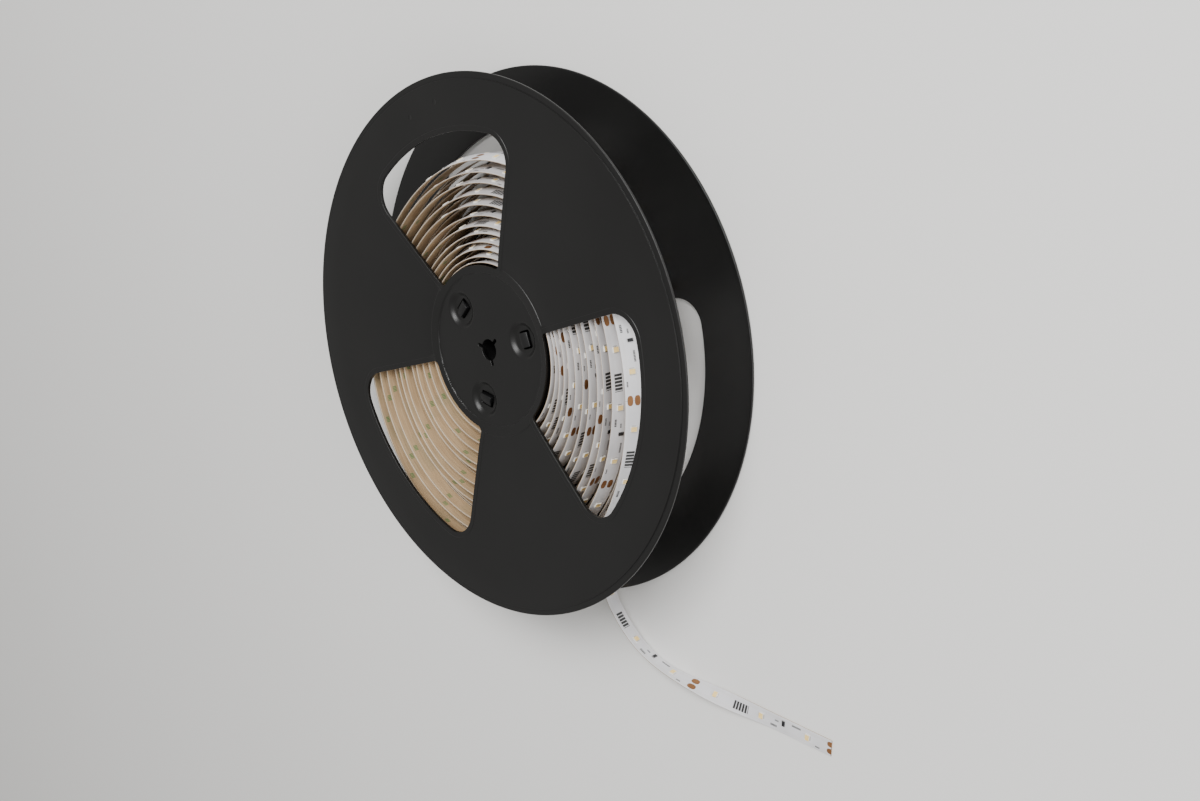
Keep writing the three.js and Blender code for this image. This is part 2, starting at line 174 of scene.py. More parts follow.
class Finish(Nodes):
    """A node material. Its methods that make a node give that node's result."""

    def __init__(self, name):
        self.material = bpy.data.materials.new(name)
        self.material.use_nodes = True
        super().__init__(self.material.node_tree)
        self.shader = self.tree.nodes["Principled BSDF"]

    def set(self, **values):
        for key, value in values.items():
            self.feed(self.shader.inputs[key.replace("_", " ")], value)

    def math(self, operation, *values):
        return self.node("ShaderNodeMath", enumerate(values), operation=operation).outputs[0]

    def times(self, first, *others):
        for other in others:
            first = self.math("MULTIPLY", first, other)
        return first

    def away(self, value, middle=0.0):
        """How far a value is from a middle, either way."""
        return self.math("ABSOLUTE", self.math("SUBTRACT", value, middle))

    def attribute(self, name):
        return self.node("ShaderNodeAttribute", attribute_name=name).outputs["Fac"]

    def noise(self, scale, detail=4.0, roughness=0.5, vector=None):
        vector = vector or self.node("ShaderNodeTexCoord").outputs["Object"]
        values = {"Scale": scale, "Detail": detail, "Roughness": roughness, "Vector": vector}
        return self.node("ShaderNodeTexNoise", values).outputs["Fac"]

    def mix(self, factor, first, second):
        values = {"Factor": factor, "A": first, "B": second}
        return self.node("ShaderNodeMix", values, data_type="RGBA").outputs["Result"]

    def between(self, value, low, high, new_low=0.0, new_high=1.0):
        """Goes from new_low to new_high while the value goes from low to high."""
        values = {"Value": value, "From Min": low, "From Max": high, "To Min": new_low, "To Max": new_high}
        return self.node("ShaderNodeMapRange", values).outputs[0]

    def blend(self, value, low, high, first, second):
        """Goes from the first colour to the second while the value goes from low to high."""
        return self.mix(self.between(value, low, high), first, second)

    def bump(self, height, distance, strength=1.0, below=None):
        values = {"Height": height, "Distance": distance, "Strength": strength}
        if below is not None:
            values["Normal"] = below
        return self.node("ShaderNodeBump", values).outputs[0]

    def box(self, along, across, centre, half, softness=0.08 * MM):
        """One inside a box on the tape and zero outside. centre and half are (along, across)."""
        return self.times(*(
            self.between(self.away(value, middle), size + softness, size - softness)
            for value, middle, size in zip((along, across), centre, half)
        ))


def moulded_plastic(name, colour, roughness, grain, depth):
    """Black moulded plastic with a fine spark-eroded grain and a soft unevenness of gloss."""
    finish = Finish(name)
    cloud = finish.noise(14.0, 3.0)
    speck = finish.noise(grain, 2.0, 0.6)
    lighter = (*(channel * 1.25 for channel in colour[:3]), 1.0)
    finish.set(
        Specular_IOR_Level=0.42,
        Base_Color=finish.blend(cloud, 0.35, 0.65, colour, lighter),
        Roughness=finish.between(finish.math("ADD", cloud, speck), 0.7, 1.3, roughness - 0.05, roughness + 0.05),
        Normal=finish.bump(speck, depth, 0.6, finish.bump(cloud, 0.4 * MM, 0.05)),
    )
    return finish.material


# The tape's look. Places and half sizes on it are (along, across), and along is from its cut lines.
MASK_WHITE = (0.63, 0.625, 0.645, 1), (0.73, 0.725, 0.745, 1)
TRACE_TINT = (0.52, 0.47, 0.40, 1)
TRACE_OFFSET = 3.1 * MM
COPPER = (0.22, 0.095, 0.036, 1), (0.34, 0.165, 0.07, 1)
PAD_OFFSET = 2.15 * MM
PAD_HALF = (3.0 * MM, 1.7 * MM)
PAD_POWER = 2.6
INK = (0.03, 0.03, 0.03, 1)
# Prints as bars without any lettering: centre, half size and pitch. The first has the maker's place.
PRINTS = (
    ((-35.5 * MM, 0.4 * MM), (5.2 * MM, 2.5 * MM), 2.0 * MM),
    ((25.0 * MM, -2.6 * MM), (3.2 * MM, 0.6 * MM), 0.8 * MM),
    ((41.0 * MM, 2.4 * MM), (2.4 * MM, 0.7 * MM), 0.9 * MM),
    ((39.0 * MM, -1.2 * MM), (1.3 * MM, 0.5 * MM), 0.8 * MM),
    ((9.5 * MM, 3.3 * MM), (1.6 * MM, 0.45 * MM), 0.8 * MM),
)
KRAFT = (0.36, 0.235, 0.125, 1), (0.55, 0.39, 0.225, 1)
KRAFT_STAIN = (0.27, 0.25, 0.15, 1)
LINER_HALF = 4.25 * MM
# Painted shade: the colour of a thin dark line along the liner's edge
LINER_EDGE_PAINTED_SHADE = (0.20, 0.14, 0.085, 1)
LINER_PRINT = (0.07, 0.19, 0.06, 1)
LINER_PRINT_PITCH = 42 * MM
BARE_BACK = (0.66, 0.54, 0.39, 1)
CUT_SIDE = (0.25, 0.165, 0.095, 1), (0.56, 0.485, 0.395, 1)


def lit_side(finish, along, across, cloud, trace):
    """The lit side's colour, and where its oval copper pads are, a pair at each cut line."""
    # Place within one segment, from minus half a segment to plus half a segment about its cut line
    place = finish.math("WRAP", along, SEGMENT / 2, -SEGMENT / 2)
    # The traces show through the mask as faint darker lanes
    white = finish.mix(finish.times(trace, 0.10), finish.blend(cloud, 0.3, 0.7, *MASK_WHITE), TRACE_TINT)
    pad_across = finish.math("SUBTRACT", finish.away(across), PAD_OFFSET)
    reach = [
        finish.math("POWER", finish.away(finish.math("DIVIDE", value, half)), PAD_POWER)
        for value, half in zip((place, pad_across), PAD_HALF)
    ]
    pad = finish.between(finish.math("SQRT", finish.math("ADD", *reach)), 1.03, 0.97)
    ink = finish.times(finish.box(place, across, (0, 0), (0.09 * MM, 4.9 * MM), 0.03 * MM), 0.8)
    for centre, half, pitch in PRINTS:
        bars = finish.between(finish.math("PINGPONG", place, pitch / 2), pitch * 0.1, pitch * 0.16)
        ink = finish.math("MAXIMUM", ink, finish.times(finish.box(place, across, centre, half), bars))
    copper = finish.blend(cloud, 0.4, 0.6, *COPPER)
    return finish.mix(pad, finish.mix(ink, white, INK), copper), pad


def liner_side(finish, along, across):
    """Kraft paper with fibres along the tape and a few green prints, the bare back beside it, and a line of painted
    shade along the liner's edge.
    """
    lengthways = finish.node(
        "ShaderNodeCombineXYZ", {"X": finish.times(along, 55.0), "Y": finish.times(across, 900.0), "Z": 0.0}
    ).outputs[0]
    kraft = finish.blend(finish.noise(1.0, 5.0, 0.6, lengthways), 0.3, 0.7, *KRAFT)
    stain = finish.between(finish.noise(38.0, 2.0), 0.52, 0.68)
    kraft = finish.mix(finish.times(stain, 0.35), kraft, KRAFT_STAIN)
    place = finish.math("WRAP", along, LINER_PRINT_PITCH / 2, -LINER_PRINT_PITCH / 2)
    print_box = finish.box(place, across, (0, 1.4 * MM), (1.9 * MM, 1.4 * MM), 0.3 * MM)
    bars = finish.between(finish.math("PINGPONG", along, 0.5 * MM), 0.10 * MM, 0.2 * MM)
    liner = finish.mix(finish.times(print_box, bars, 0.85), kraft, LINER_PRINT)
    liner = finish.blend(finish.away(across), LINER_HALF, LINER_HALF + 0.05 * MM, liner, BARE_BACK)
    # A thin line of painted shade along the liner's edge
    edge = finish.between(finish.away(finish.away(across), LINER_HALF), 0.14 * MM, 0.07 * MM)
    return finish.mix(finish.times(edge, 0.75), liner, LINER_EDGE_PAINTED_SHADE)


def tape_material(name):
    """White solder mask with bare copper pads and small dark prints on the lit side, kraft liner behind."""
    finish = Finish(name)
    along, across, depth = (finish.attribute("tape_" + axis) for axis in ("along", "across", "depth"))
    grain = finish.noise(900.0, 2.0)
    trace = finish.between(finish.away(finish.away(across), TRACE_OFFSET), 0.9 * MM, 0.7 * MM)
    lit, pad = lit_side(finish, along, across, finish.noise(60.0, 3.0), trace)
    is_liner = finish.between(depth, -0.08 * MM, -0.11 * MM)
    side = finish.between(finish.away(across), TAPE_WIDTH / 2 - 0.1 * MM, TAPE_WIDTH / 2 - 0.02 * MM)
    cut_side = finish.blend(depth, -0.06 * MM, 0.1 * MM, *CUT_SIDE)
    relief = finish.math("ADD", finish.times(trace, 0.25), finish.times(grain, 0.12))
    finish.set(
        Base_Color=finish.mix(
            finish.times(side, 0.95), finish.mix(is_liner, lit, liner_side(finish, along, across)), cut_side
        ),
        Metallic=finish.times(pad, 0.55, finish.math("SUBTRACT", 1.0, is_liner)),
        Roughness=finish.between(finish.math("ADD", grain, is_liner), 0.3, 1.6, 0.36, 0.62),
        Normal=finish.bump(relief, 0.06 * MM, 0.8),
    )
    return finish.material


# Marks that tell the faces of a component apart
BODY_ZONE, WINDOW_ZONE, TIN_ZONE = 0.0, 1.0, 2.0
HOUSING = (0.82, 0.80, 0.74, 1)
PHOSPHOR = (0.92, 0.62, 0.20, 1), (0.97, 0.76, 0.36, 1)
BLACK = (0.014, 0.014, 0.016, 1)


def component_material(name, grain, relief, gloss, body, window, tin):
    """A component's body, an LED's phosphor window and tinned ends, told apart by an attribute of the faces."""
    finish = Finish(name)
    zone = finish.attribute("component_zone")
    cloud = finish.noise(grain, 2.0)
    is_tin = finish.between(zone, TIN_ZONE - 0.55, TIN_ZONE - 0.45)
    colour = finish.blend(zone, 0.45, 0.55, body, finish.blend(cloud, 0.3, 0.7, *window))
    finish.set(
        Base_Color=finish.mix(is_tin, colour, tin),
        Metallic=finish.times(is_tin, 0.9),
        Roughness=finish.between(cloud, 0.2, 0.8, gloss, 0.42),
        Normal=finish.bump(cloud, relief, 0.4),
    )
    return finish.material


def floor_material():
    finish = Finish("pale_floor")
    finish.set(
        Base_Color=finish.blend(finish.noise(1.4, 3.0), 0.3, 0.7, (0.80, 0.795, 0.78, 1), (0.83, 0.825, 0.81, 1)),
        Roughness=0.75,
        Normal=finish.bump(finish.noise(700.0, 2.0), 0.1 * MM, 0.15),
    )
    return finish.material


# Camera

CAMERA_PLACE = Vector((0.6564, 0.2399, 0.6108))
CAMERA_AZIMUTH = math.radians(45.06)
CAMERA_ELEVATION = math.radians(17.535)
CAMERA_LENS = 44.41


def make_camera():
    """Looks at the reel's front from its right and a little above, as its own top is +Y."""
    back = Vector((
        math.sin(CAMERA_AZIMUTH) * math.cos(CAMERA_ELEVATION),
        math.sin(CAMERA_ELEVATION),
        math.cos(CAMERA_AZIMUTH) * math.cos(CAMERA_ELEVATION),
    ))
    right = Vector((0, 1, 0)).cross(back).normalized()
    up = back.cross(right)
    data = bpy.data.cameras.new("camera")
    data.lens = CAMERA_LENS
    data.sensor_width = 36.0
    data.clip_start = 0.01
    camera = new_object("camera", data)
    camera.matrix_world = Matrix.Translation(CAMERA_PLACE) @ Matrix((right, up, back)).transposed().to_4x4()
    bpy.context.scene.camera = camera


# Studio

FLOOR_REACH = 6.0
WORLD_COLOUR = (1.0, 0.985, 0.96, 1)
WORLD_STRENGTH = 0.45


def area_light(name, place, target, size, watts):
    data = bpy.data.lights.new(name, "AREA")
    data.shape = "RECTANGLE"
    data.size, data.size_y = size
    data.energy = watts
    lamp = new_object(name, data)
    lamp.location = place
    lamp.rotation_mode = "QUATERNION"
    lamp.rotation_quaternion = (Vector(target) - Vector(place)).to_track_quat("-Z", "Y")


def make_studio():
    corners = [(x * FLOOR_REACH, y * FLOOR_REACH, 0) for x, y in ((-1, -1), (1, -1), (1, 1), (-1, 1))]
    floor = new_object("floor", new_mesh("floor", corners, faces=[(0, 1, 2, 3)]))
    floor.data.materials.append(floor_material())
    world = bpy.data.worlds.new("studio")
    world.use_nodes = True
    background = world.node_tree.nodes["Background"]
    background.inputs["Color"].default_value = WORLD_COLOUR
    background.inputs["Strength"].default_value = WORLD_STRENGTH
    bpy.context.scene.world = world
    area_light("overhead", (0.75, 1.25, 1.75), (0, 0, 0), (1.6, 1.0), 68)
    area_light("side", (1.9, 0.0, 0.9), (0, 0, 0.05), (1.0, 1.4), 17)


# Tape along a route


def new_tree(name, sockets):
    """A node group that takes geometry, the named inputs and a material, and gives geometry."""
    tree = bpy.data.node_groups.new(name, "GeometryNodeTree")
    for label, kind in (("Geometry", "Geometry"), *sockets, ("Material", "Material")):
        tree.interface.new_socket(label, in_out="INPUT", socket_type="NodeSocket" + kind)
    tree.interface.new_socket("Geometry", in_out="OUTPUT", socket_type="NodeSocketGeometry")
    grow = Nodes(tree)
    return grow, grow.node("NodeGroupInput").outputs


def named_vector(grow, name):
    return grow.node("GeometryNodeInputNamedAttribute", {"Name": name}, data_type="FLOAT_VECTOR").outputs[0]


def end_tree(grow, geometry, material):
    """The last steps of a tree: makes instances real and sets the material."""
    real = grow.node("GeometryNodeRealizeInstances", {0: geometry}).outputs[0]
    painted = grow.node("GeometryNodeSetMaterial", {"Geometry": real, "Material": material}).outputs[0]
    grow.node("NodeGroupOutput", {0: painted})
    return grow.tree


def tape_tree():
    """Sweeps the tape's section along the carrier's polylines, whose points say which way is lit."""
    grow, given = new_tree("tape_on_route", [(label, "Float") for label in ("Width", "Thickness", "Corner")])
    route = grow.node("GeometryNodeMeshToCurve", {0: given["Geometry"]}).outputs[0]
    values = {"Curve": route, "Normal": named_vector(grow, "lit_side")}
    route = grow.node("GeometryNodeSetCurveNormal", values, mode="FREE").outputs[0]
    values = {"Width": given["Thickness"], "Height": given["Width"]}
    section = grow.node("GeometryNodeCurvePrimitiveQuadrilateral", values).outputs[0]
    values = {"Curve": section, "Count": 1, "Radius": given["Corner"]}
    section = grow.node("GeometryNodeFilletCurve", values, mode="POLY").outputs[0]
    split = grow.node("ShaderNodeSeparateXYZ", {0: grow.node("GeometryNodeInputPosition").outputs[0]}).outputs
    for label, axis in (("tape_depth", 0), ("tape_across", 1)):
        values = {"Geometry": section, "Name": label, "Value": split[axis]}
        store = grow.node("GeometryNodeStoreNamedAttribute", values, data_type="FLOAT", domain="POINT")
        section = store.outputs[0]
    values = {"Curve": route, "Profile Curve": section, "Fill Caps": True}
    return end_tree(grow, grow.node("GeometryNodeCurveToMesh", values).outputs[0], given["Material"])


def component_tree():
    """Sets a component on each point of the carrier, standing along the lit side."""
    sides = ("Length", "Width", "Height")
    grow, given = new_tree("components_on_tape", [("Component", "Object")] + [(side, "Float") for side in sides])
    ways = [named_vector(grow, name) for name in ("lit_side", "travel")]
    turn = grow.node("FunctionNodeAxesToRotation", enumerate(ways), primary_axis="Z", secondary_axis="X")
    values = {
        "Points": given["Geometry"],
        "Instance": grow.node("GeometryNodeObjectInfo", {"Object": given["Component"]}).outputs["Geometry"],
        "Rotation": turn.outputs[0],
        "Scale": grow.node("ShaderNodeCombineXYZ", enumerate(given[side] for side in sides)).outputs[0],
    }
    return end_tree(grow, grow.node("GeometryNodeInstanceOnPoints", values).outputs[0], given["Material"])


def carrier(name, points, edges, **vectors):
    """A mesh of points, and of edges where they make a line, with one named vector for each point."""
    mesh = new_mesh(name + "_carrier", points.tolist(), edges)
    for label, values in vectors.items():
        kind = "FLOAT" if values.ndim == 1 else "FLOAT_VECTOR"
        field = "value" if values.ndim == 1 else "vector"
        attribute = mesh.attributes.new(label, kind, "POINT")
        attribute.data.foreach_set(field, values.astype(np.float32).ravel())
    return new_object(name + "_carrier", mesh)


def grown(name, tree, holder, **inputs):
    """The plain mesh that a tree makes of its carrier, which is removed."""
    modifier = holder.modifiers.new("build", "NODES")
    modifier.node_group = tree
    for item in tree.interface.items_tree:
        if item.item_type == "SOCKET" and item.in_out == "INPUT" and item.name in inputs:
            modifier[item.identifier] = inputs[item.name]
    return baked(name, holder)


def outward(piece, sharp=35.0):
    """Turns the faces outwards and shades them."""
    reshaped(piece.data, lambda work: bmesh.ops.recalc_face_normals(work, faces=work.faces))
    return shade(piece, sharp)


class Ribbon:
    """One or more lengths of tape: centre points, travel and lit directions, and distance from the cut end."""

    def __init__(self):
        self.points, self.travel, self.lit, self.along, self.edges = [], [], [], [], []
        self.count = 0

    def add(self, points, lit, from_end):
        travel = unit(np.gradient(points, axis=0))
        lit = unit(lit - travel * (lit * travel).sum(1, keepdims=True))
        self.points.append(points)
        self.travel.append(travel)
        self.lit.append(lit)
        self.along.append(from_end)
        self.edges += [(self.count + i, self.count + i + 1) for i in range(len(points) - 1)]
        self.count += len(points)

    def body(self, name, tree, material):
        holder = carrier(
            name,
            np.concatenate(self.points),
            self.edges,
            lit_side=np.concatenate(self.lit),
            tape_along=np.concatenate(self.along),
        )
        return outward(grown(
            name, tree, holder, Width=TAPE_WIDTH, Thickness=TAPE_THICKNESS, Corner=0.12 * MM, Material=material
        ))

    def seats(self, first, pitch, across):
        """Points on the lit side at regular distances from the cut end, with their directions."""
        places, travels, lits = [], [], []
        for points, travel, lit, along in zip(self.points, self.travel, self.lit, self.along):
            low, high = along.min(), along.max()
            span = math.ceil((low - first) / pitch), math.floor((high - first) / pitch) + 1
            stops = first + pitch * np.arange(*span)
            stops = stops[(stops > low + END_CLEAR) & (stops < high - END_CLEAR)]
            order = np.argsort(along)

            def at(values):
                return np.stack([np.interp(stops, along[order], values[order, k]) for k in range(3)], axis=1)

            facing, going = unit(at(lit)), unit(at(travel))
            sideways = np.cross(facing, going)
            places.append(at(points) + facing * (TAPE_THICKNESS / 2) + sideways * across)
            travels.append(going)
            lits.append(facing)
        return np.concatenate(places), np.concatenate(travels), np.concatenate(lits)


# Components


def block(work, low, high, shrink, mark):
    """A box whose top is smaller by shrink on each side and whose faces carry a mark. Gives its top face."""
    zone = work.faces.layers.float["component_zone"]
    corners = []
    for z, inset in ((low[2], 0.0), (high[2], shrink)):
        x, y = ((low[k] + inset, high[k] - inset) for k in (0, 1))
        corners += [work.verts.new((x[i], y[j], z)) for i, j in ((0, 0), (1, 0), (1, 1), (0, 1))]
    for loop in ((3, 2, 1, 0), (0, 1, 5, 4), (1, 2, 6, 5), (2, 3, 7, 6), (3, 0, 4, 7), (4, 5, 6, 7)):
        face = work.faces.new([corners[k] for k in loop])
        face[zone] = mark
    return face


def led_component():
    """A flat lamp housing of unit size with a dished phosphor window and tinned feet at both ends."""

    def build(work):
        zone = work.faces.layers.float.new("component_zone")
        top = block(work, (-0.5, -0.5, 0.0), (0.5, 0.5, 1.0), 0.04, BODY_ZONE)
        bmesh.ops.inset_region(work, faces=[top], thickness=0.025, depth=0.0)
        bmesh.ops.inset_region(work, faces=[top], thickness=0.02, depth=-0.12)
        top[zone] = WINDOW_ZONE
        for low, high in ((-0.68, -0.42), (0.42, 0.68)):
            block(work, (low, -0.36, 0.0), (high, 0.36, 0.22), 0.05, TIN_ZONE)

    return new_object("led_component", reshaped(new_mesh("led_component"), build))


def resistor_component():
    """A chip of unit size, long across the tape: a black body between two tinned caps."""

    def build(work):
        work.faces.layers.float.new("component_zone")
        for low, high, half, top, mark in (
            (-0.45, 0.45, 0.48, 0.96, BODY_ZONE),
            (-0.5, -0.43, 0.5, 1.0, TIN_ZONE),
            (0.43, 0.5, 0.5, 1.0, TIN_ZONE),
        ):
            block(work, (-half, low, 0.0), (half, high, top), 0.0, mark)

    return new_object("resistor_component", reshaped(new_mesh("resistor_component"), build))


def set_components(ribbon, prefix, tree, kinds, node_counts=(0, 0)):
    """The LEDs and the resistors of a ribbon as two pieces, which may stand for numbered CAD nodes."""
    pieces = []
    for (kind, component, finish, slot, size, first, pitch, across), count in zip(kinds, node_counts):
        name = f"{prefix}_{kind}s"
        places, travels, lits = ribbon.seats(first, pitch, across)
        holder = carrier(name, places, [], travel=travels, lit_side=lits)
        sides = dict(zip(("Length", "Width", "Height"), size))
        piece = shade(grown(name, tree, holder, Component=component, Material=finish, **sides), 30.0)
        pieces.append(finish_piece(piece, None, slot, *[f"{prefix}_{kind}_{i}" for i in range(1, count + 1)]))
    return pieces


# Free end of the tape

TAIL_ROUTE = [
    (0.0998, -0.0809, 0.0114),
    (0.0906, -0.0916, 0.0111),
    (0.0810, -0.1010, 0.0106),
    (0.0725, -0.1096, 0.0099),
    (0.0663, -0.1175, 0.0092),
    (0.0620, -0.1270, 0.0085),
    (0.0596, -0.1370, 0.0080),
    (0.0598, -0.1475, 0.0077),
    (0.0628, -0.1574, 0.0074),
    (0.0687, -0.1663, 0.0069),
    (0.0762, -0.1746, 0.0063),
    (0.0852, -0.1818, 0.0057),
    (0.0958, -0.1872, 0.0054),
    (0.1080, -0.1906, 0.0053),
    (0.1200, -0.1922, 0.0051),
    (0.1350, -0.1934, 0.0045),
    (0.1500, -0.1943, 0.0035),
    (0.1650, -0.1951, 0.0022),
    (0.1800, -0.1957, 0.0011),
    (0.1950, -0.1961, 0.00065),
    (0.2120, -0.1965, 0.00062),
    (0.2290, -0.1968, 0.00062),
]
TWIST_START = 0.52
TWIST_END = 0.86


def distance_along(points):
    return np.concatenate([[0], np.cumsum(np.linalg.norm(np.diff(points, axis=0), axis=1))])


def smooth_route(points, per_span):
    """A centripetal Catmull-Rom curve through the points, as many steps in each span."""
    points = np.array(points, float)
    padded = np.vstack([2 * points[0] - points[1], points, 2 * points[-1] - points[-2]])
    made = []
    for k in range(1, len(padded) - 2):
        p0, p1, p2, p3 = padded[k - 1 : k + 3]
        d0, d1, d2 = (math.sqrt(np.linalg.norm(b - a)) for a, b in ((p0, p1), (p1, p2), (p2, p3)))
        m1 = ((p1 - p0) / d0 - (p2 - p0) / (d0 + d1) + (p2 - p1) / d1) * d1
        m2 = ((p2 - p1) / d1 - (p3 - p1) / (d1 + d2) + (p3 - p2) / d2) * d1
        t = np.arange(per_span)[:, None] / per_span
        made.append(
            (2 * t**3 - 3 * t**2 + 1) * p1 + (t**3 - 2 * t**2 + t) * m1
            + (-2 * t**3 + 3 * t**2) * p2 + (t**3 - t**2) * m2
        )
    return np.vstack([*made, points[-1:]])


def tail_ribbon():
    """The free end, on edge at first and lying lit side up at its cut end."""
    points = smooth_route(TAIL_ROUTE, 12)
    gone = distance_along(points)
    share = gone / gone[-1]
    travel = unit(np.gradient(points, axis=0))
    level = unit(np.stack([-travel[:, 1], travel[:, 0], 0 * share], axis=1))
    upwards = np.cross(travel, level)
    lying = smooth(TWIST_START, TWIST_END, share)[:, None] * math.pi / 2
    ribbon = Ribbon()
    ribbon.add(points, level * np.cos(lying) + upwards * np.sin(lying), gone[-1] - gone)
    return ribbon, gone[-1]


# Flanges

RIM_BAND = 4 * MM
RIM_STEP = 0.45 * MM
RIM_GROOVE = 0.1 * MM
RIM_ROUND = 0.6 * MM
RIM_POINTS = 288
FLAT_RING_RADIUS = 152 * MM
WEB_BOW = 4.3 * MM
WEB_BEND = 5 * MM
HUB_RECESS = 5.5 * MM
PLATE_RADIUS = 46.5 * MM
RAMP_WIDTH = 7.5 * MM
RAMP_EASE = 1.15
# The raised ring between web and hub plate: radius, and depth below the flat ring
HUB_RING = (
    (46.9 * MM, 5.5 * MM), (47.55 * MM, 4.8 * MM), (53.3 * MM, 4.25 * MM), (53.9 * MM, 4.7 * MM), (62 * MM, 4.3 * MM),
)
HUB_RING_ROUND = 0.14 * MM
ARBOR_RADIUS = 6.5 * MM
KEY_WIDTH = 2.2 * MM
KEY_REACH = 10 * MM
WINDOW_HALF = 31.5
WINDOW_INNER = 51.6 * MM
WINDOW_OUTER = 131 * MM
OUTER_CORNER = 16 * MM
INNER_CORNER = 3 * MM
LIP_WIDTH = 3.5 * MM
LIP_HEIGHT = 0.28 * MM
LIP_SLOPE = 0.45 * MM
EDGE_ROUND = 0.35 * MM
SOCKET_RADIUS = 32.5 * MM
DISH_RADIUS = 11.5 * MM
DISH_FLOOR_RADIUS = 7.6 * MM
DISH_LIP = 0.4 * MM
DISH_DEPTH = 2.5 * MM
HOOK_INSIDE = 30.0 * MM
HOOK_OUTSIDE = 36.1 * MM
HOOK_SHANK = 33.8 * MM
HOOK_WIDTH = 9 * MM
SLOT_INSIDE = 28.8 * MM
SLOT_OUTSIDE = 37.2 * MM
SLOT_WIDTH = 10.8 * MM
SLOT_CORNER = 1.1 * MM
SEAT_GAP = 0.3 * MM
# Shallow ejector marks in the front face: radius from the axis, angle and own radius
PIN_MARKS = ((147.6 * MM, 114.8, 1.6 * MM), (150.0 * MM, 104.7, 1.6 * MM))
PIN_DEPTH = 0.12 * MM
# Where the triangulation is dense, in mm: in from the rim, out from the band's step, out from a window's
# edge, out from the arbor's and a slot's edge, and the radii of the raised ring
RIM_LOOPS = (0, 0.05, 0.18, 0.36, RIM_ROUND / MM, 1.2)
STEP_LOOPS = (1.0, 0.85, 0.75, 0.68, 0.6, 0.52, 0.45, 0.38, 0.14, 0.1, 0.06, 0.02, -0.03, -0.25)
LIP_LOOPS = (0, 0.03, 0.1, 0.2, 0.35, 0.6, 2.9, 3.04, 3.12, 3.2, 3.28, 3.36, 3.44, 3.52, 3.65, 3.9)
LIP_CLEAR = 3.95
ARBOR_LOOPS = (0, 0.04, 0.14, 0.35, 0.6)
SLOT_LOOPS = (0, 0.05, 0.2, 0.4)
RING_LOOPS = (
    46.72, 46.8, 46.88, 46.96, 47.05, 47.2, 47.35, 47.44, 47.52, 47.6, 48.4, 50.0, 51.6, 52.8,
    53.1, 53.2, 53.3, 53.4, 53.5, 53.62, 53.74, 53.84, 53.94, 54.05, 54.5, 56.0,
)
AXIS = np.zeros(2)


def arc(centre, radius, start, end, pieces):
    return centre + polar(radius, np.linspace(start, end, pieces + 1))


def window_outline(phase, grow):
    """A window between two arcs about the axis, with rounded corners. grow moves its edge outwards."""
    inner, outer = WINDOW_INNER - grow, WINDOW_OUTER + grow
    inner_corner, outer_corner = INNER_CORNER + grow, OUTER_CORNER + grow
    inner_end = WINDOW_HALF - math.degrees(math.asin(INNER_CORNER / (inner + inner_corner)))
    outer_end = WINDOW_HALF - math.degrees(math.asin(OUTER_CORNER / (outer - outer_corner)))
    side = WINDOW_HALF + 90
    far = [polar(outer - outer_corner, phase + turn * outer_end) for turn in (1, -1)]
    near = [polar(inner + inner_corner, phase + turn * inner_end) for turn in (1, -1)]

    def straight(end, turn, first, last):
        """Points along a straight side, between its two corners."""
        share = np.linspace(first, last, 9)[:, None]
        low, high = polar(inner_corner, phase + turn * side), polar(outer_corner, phase + turn * side)
        return near[end] + (far[end] - near[end]) * share + (low + (high - low) * share)

    return np.vstack([
        arc(AXIS, outer, phase - outer_end, phase + outer_end, 84),
        arc(far[0], outer_corner, phase + outer_end, phase + side, 22)[1:],
        straight(0, 1, 0.9, 0.1),
        arc(near[0], inner_corner, phase + side, phase + inner_end + 180, 6),
        arc(AXIS, inner, phase + inner_end, phase - inner_end, 48)[1:],
        arc(near[1], inner_corner, phase - inner_end - 180, phase - side, 6)[1:],
        straight(1, -1, 0.1, 0.9),
        arc(far[1], outer_corner, phase - side, phase - outer_end, 22)[:-1],
    ])


def arbor_outline(grow):
    """The round arbor hole with its three key slots, which have round ends."""
    radius, half = ARBOR_RADIUS + grow, KEY_WIDTH / 2 + grow
    turn = math.degrees(math.asin(half / radius))
    points = []
    for i in range(WINDOW_COUNT):
        phase = KEY_PHASE + i * TURN_STEP
        tip = polar(KEY_REACH - KEY_WIDTH / 2, phase)
        points += [
            arc(AXIS, radius, phase - TURN_STEP + turn, phase - turn, 18),
            arc(tip, half, phase - 90, phase + 90, 8),
        ]
    return np.vstack(points)


def socket_centre(i):
    return polar(SOCKET_RADIUS, SOCKET_PHASE + i * TURN_STEP)


def slot_outline(i, grow):
    """The slot beside a hook, with its corners rounded, turned to the hook's angle."""
    low, high, half = SLOT_INSIDE + SLOT_CORNER, SLOT_OUTSIDE - SLOT_CORNER, SLOT_WIDTH / 2 - SLOT_CORNER
    outline = np.vstack([
        arc(np.array(middle), SLOT_CORNER + grow, start, start + 90, 4)
        for *middle, start in ((high, half, 0), (low, half, 90), (low, -half, 180), (high, -half, 270))
    ])
    angle = SOCKET_PHASE + i * TURN_STEP
    return outline @ np.array([polar(1.0, angle), polar(1.0, angle + 90)])


def distance_to(outline, points):
    """Shortest distance from each point to a closed outline."""
    nearest = np.full(len(points), np.inf)
    for start, end in zip(outline, np.roll(outline, -1, axis=0)):
        along = end - start
        length = along @ along
        if length < 1e-16:
            continue
        t = np.clip((points - start) @ along / length, 0, 1)
        nearest = np.minimum(nearest, np.linalg.norm(points - start - t[:, None] * along, axis=1))
    return nearest


def inside(outline, points):
    """Which points lie inside a closed outline."""
    crossings = np.zeros(len(points), bool)
    x, y = points[:, 0], points[:, 1]
    for (x1, y1), (x2, y2) in zip(outline, np.roll(outline, -1, axis=0)):
        if y1 == y2:
            continue
        spans = (y1 > y) != (y2 > y)
        crossings ^= spans & (x < x1 + (y - y1) * (x2 - x1) / (y2 - y1))
    return crossings


def rounding(distance, radius):
    """How far a rounded edge drops at a distance from that edge."""
    t = np.clip(1 - distance / radius, 0, 1)
    return radius * (1 - np.sqrt(1 - t * t))


